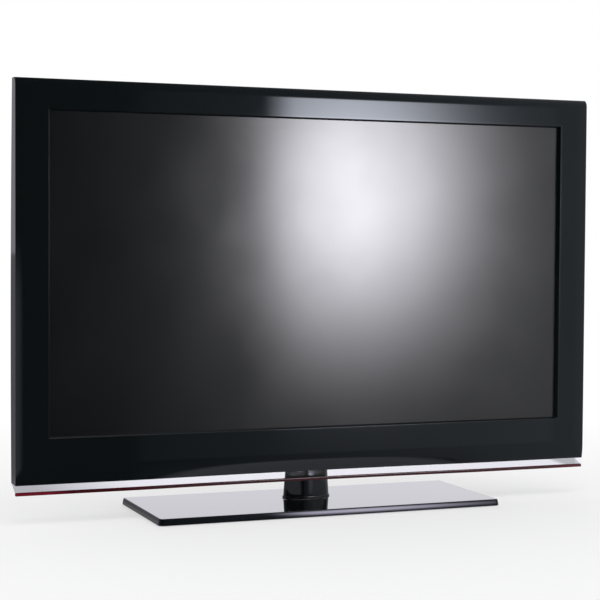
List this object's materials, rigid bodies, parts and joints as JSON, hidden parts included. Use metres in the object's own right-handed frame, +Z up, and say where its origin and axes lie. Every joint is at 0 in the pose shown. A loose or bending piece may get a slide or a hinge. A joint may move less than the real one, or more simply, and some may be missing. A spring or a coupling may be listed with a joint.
{
  "type": "lcd television",
  "caption": "Flat television with a gloss black bezel, a clear and red trim strip under it, and an oval neck that swivels on a wide flat base plate.",
  "frame": {"origin": "on the table, under the middle of the whole object's box", "axes": "+X to the viewer's right along the screen, +Y from the screen towards the back, +Z up"},
  "size_m": [0.993, 0.223, 0.6822],
  "materials": {
    "gloss_black": "piano gloss, moulded",
    "clear_acrylic": "clear, polished",
    "red_trim": "deep red gloss",
    "screen_film": "dark polariser film, half matt",
    "matt_black": "fine spark texture",
    "dark_chrome": "polished",
    "zinc_steel": "zinc plated sheet",
    "connector_plate": "matt black paint",
    "black_screw": "black oxide",
    "dark_moulding": "moulded",
    "white_sheet": "white film",
    "white_moulding": "moulded",
    "lamp_glass": "phosphor coated tube",
    "circuit_board": "solder mask",
    "ferrite": "sintered",
    "aluminium_fins": "extruded",
    "socket_metal": "nickel plated",
    "phono_plastic": "coloured mouldings",
    "blue_plastic": "blue moulding",
    "socket_plastic": "black moulding",
    "contact_metal": "plated contacts",
    "nylon": "moulded nylon",
    "rubber": "moulded",
    "key_plastic": "satin moulding"
  },
  "bodies": {
    "base": {"base_cover": "gloss_black", "weight_plate": "zinc_steel", "swivel_bush": "nylon", "base_screws": "black_screw", "base_feet": "rubber"},
    "head": {"aerial_socket": "socket_metal", "backlight_tray": "zinc_steel", "board_standoffs": "zinc_steel", "capacitors": "dark_moulding", "clear_trim": "clear_acrylic", "connector_plate": "connector_plate", "cover_screws": "black_screw", "diffuser_plate": "white_sheet", "driver_boards": "circuit_board", "front_bezel": "gloss_black", "hdmi_sockets": "socket_metal", "headphone_socket": "socket_plastic", "heat_sinks": "aluminium_fins", "inlet_blades": "contact_metal", "inverter_board": "circuit_board", "key_switches": "dark_moulding", "lamp_holders": "white_moulding", "lamp_tubes": "lamp_glass", "lcd_cell": "screen_film", "main_board": "circuit_board", "mains_inlet": "socket_plastic", "mould_frame": "dark_moulding", "neck_collar": "dark_chrome", "neck_core": "zinc_steel", "neck_cover": "gloss_black", "optical_sheets": "white_sheet", "panel_clamps": "zinc_steel", "panel_frame": "zinc_steel", "pc_socket": "blue_plastic", "phono_sockets": "phono_plastic", "power_board": "circuit_board", "rear_cover": "matt_black", "red_trim": "red_trim", "reflector_sheet": "white_sheet", "retaining_disc": "zinc_steel", "sensor_board": "circuit_board", "side_board": "circuit_board", "signal_ribbon": "white_moulding", "speaker_boxes": "dark_moulding", "speaker_magnets": "ferrite", "stand_bracket": "zinc_steel", "stand_screws": "black_screw", "timing_board": "circuit_board", "timing_shield": "zinc_steel", "transformers": "ferrite", "tuner_can": "socket_metal", "usb_socket": "socket_metal", "wall_mount_posts": "zinc_steel"},
    "power_button_body": {"power_button": "key_plastic"},
    "source_button_body": {"source_button": "key_plastic"},
    "menu_button_body": {"menu_button": "key_plastic"},
    "volume_down_button_body": {"volume_down_button": "key_plastic"},
    "volume_up_button_body": {"volume_up_button": "key_plastic"},
    "channel_down_button_body": {"channel_down_button": "key_plastic"},
    "channel_up_button_body": {"channel_up_button": "key_plastic"}
  },
  "joints": [
    {"name": "swivel", "type": "hinge", "parent": "base", "child": "head", "pos_m": [0, 0.0225, 0.012], "axis": [0, 0, 1], "range_deg": [-20, 20]},
    {"name": "power_button_press", "type": "slide", "parent": "head", "child": "power_button_body", "axis": [-1, 0, 0], "range_m": [0, 0.0005], "stiffness_N_per_m": 800, "springref_m": -0.0015},
    {"name": "source_button_press", "type": "slide", "parent": "head", "child": "source_button_body", "axis": [-1, 0, 0], "range_m": [0, 0.0005], "stiffness_N_per_m": 800, "springref_m": -0.0015},
    {"name": "menu_button_press", "type": "slide", "parent": "head", "child": "menu_button_body", "axis": [-1, 0, 0], "range_m": [0, 0.0005], "stiffness_N_per_m": 800, "springref_m": -0.0015},
    {"name": "volume_down_button_press", "type": "slide", "parent": "head", "child": "volume_down_button_body", "axis": [-1, 0, 0], "range_m": [0, 0.0005], "stiffness_N_per_m": 800, "springref_m": -0.0015},
    {"name": "volume_up_button_press", "type": "slide", "parent": "head", "child": "volume_up_button_body", "axis": [-1, 0, 0], "range_m": [0, 0.0005], "stiffness_N_per_m": 800, "springref_m": -0.0015},
    {"name": "channel_down_button_press", "type": "slide", "parent": "head", "child": "channel_down_button_body", "axis": [-1, 0, 0], "range_m": [0, 0.0005], "stiffness_N_per_m": 800, "springref_m": -0.0015},
    {"name": "channel_up_button_press", "type": "slide", "parent": "head", "child": "channel_up_button_body", "axis": [-1, 0, 0], "range_m": [0, 0.0005], "stiffness_N_per_m": 800, "springref_m": -0.0015}
  ]
}
